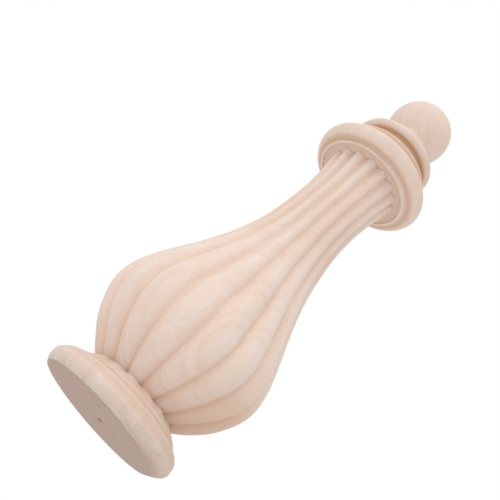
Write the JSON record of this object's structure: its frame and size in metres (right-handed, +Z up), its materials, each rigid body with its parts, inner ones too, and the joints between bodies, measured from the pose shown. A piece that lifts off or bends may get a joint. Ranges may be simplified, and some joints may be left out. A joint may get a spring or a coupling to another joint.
{
  "type": "curtain pole finial",
  "caption": "Turned and carved wooden finial: a ribbed vase body on a disc foot, under a thick collar bead, a thin ring, a short neck and a ball.",
  "frame": {"origin": "centre of the flat underside of the foot", "axes": "+Z up along the turning axis, from the foot to the ball; a carved groove lies on +X"},
  "size_m": [0.0824, 0.0824, 0.24],
  "materials": {
    "wood": "bare sanded pale wood, unfinished"
  },
  "bodies": {
    "root": {"finial": "wood"}
  },
  "joints": []
}
